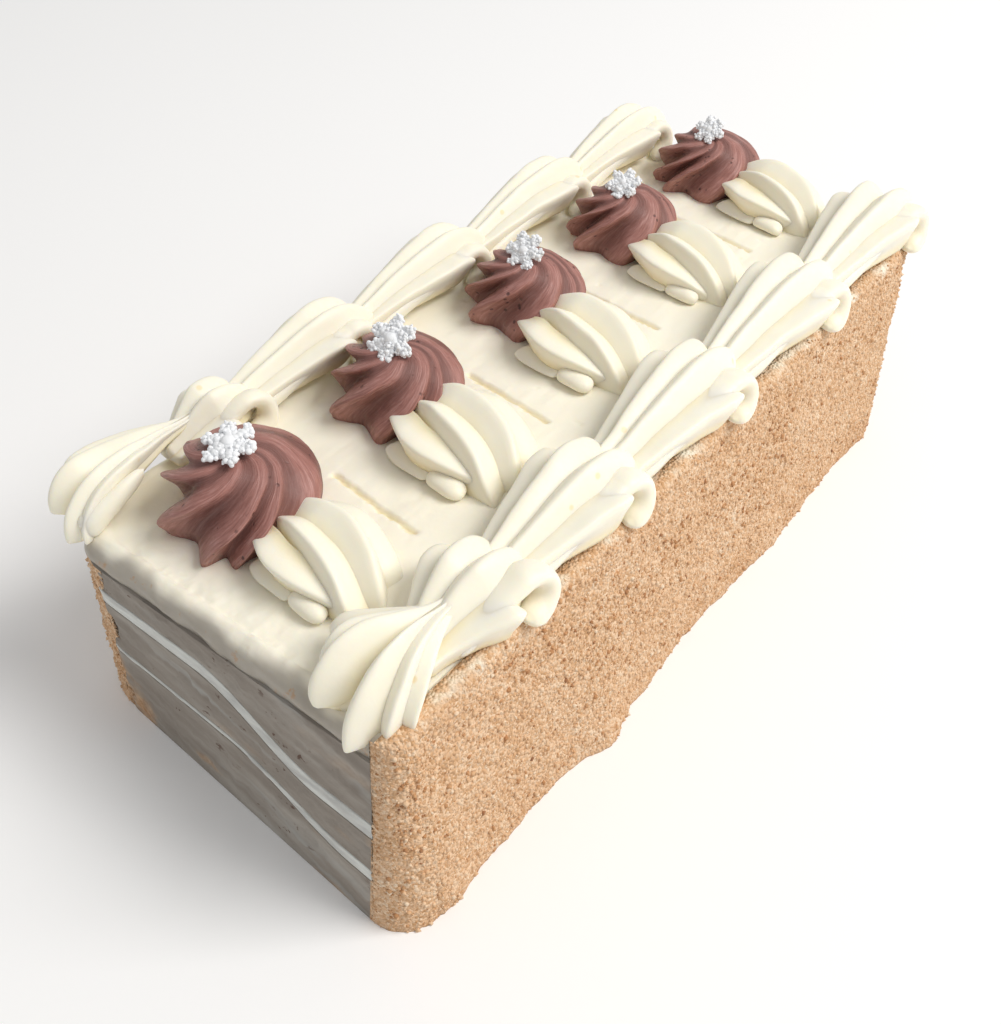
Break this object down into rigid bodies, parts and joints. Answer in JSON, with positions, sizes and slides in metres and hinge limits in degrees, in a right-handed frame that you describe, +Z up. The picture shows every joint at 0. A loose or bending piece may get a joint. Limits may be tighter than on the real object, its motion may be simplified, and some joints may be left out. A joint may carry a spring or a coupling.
{
  "type": "cream cake block",
  "caption": "Rectangular cut block of layered cream cake with crumb-coated sides, piped cream borders, cream shells and chocolate cream rosettes topped with sugar flakes.",
  "frame": {"origin": "middle of the underside of the whole block's box, on the surface it stands on", "axes": "+X across the block towards the side whose piped border is wider, +Y along the block away from its near cut end, +Z up"},
  "size_m": [0.1076, 0.2246, 0.0717],
  "materials": {
    "sponge": "moist pale sponge smeared with cream at the cuts, matt, stands in for baked sponge",
    "cream_filling": "soft off-white cream filling, satin",
    "cream": "piped buttercream, warm white with yellow shade in the valleys, soft satin",
    "chocolate_cream": "piped milk chocolate cream, dusty brown, satin on the crests",
    "crumb_coat": "fine toasted biscuit and nut crumbs, grainy and dry",
    "sugar": "pressed sugar flake, bluish white, grainy"
  },
  "bodies": {
    "root": {"sponge_bottom": "sponge", "sponge_middle": "sponge", "sponge_top": "sponge", "filling_lower": "cream_filling", "filling_upper": "cream_filling", "top_cream": "cream", "crumb_coat_left": "crumb_coat", "crumb_coat_right": "crumb_coat", "left_shell_1": "cream", "left_shell_2": "cream", "left_shell_3": "cream", "left_shell_4": "cream", "left_shell_5": "cream", "left_shell_6": "cream", "right_shell_1": "cream", "right_shell_2": "cream", "right_shell_3": "cream", "right_shell_4": "cream", "right_shell_5": "cream", "right_shell_6": "cream", "centre_shell_1": "cream", "rosette_1": "chocolate_cream", "snowflake_1": "sugar", "centre_shell_2": "cream", "rosette_2": "chocolate_cream", "snowflake_2": "sugar", "centre_shell_3": "cream", "rosette_3": "chocolate_cream", "snowflake_3": "sugar", "centre_shell_4": "cream", "rosette_4": "chocolate_cream", "snowflake_4": "sugar", "centre_shell_5": "cream", "rosette_5": "chocolate_cream", "snowflake_5": "sugar"}
  },
  "joints": []
}
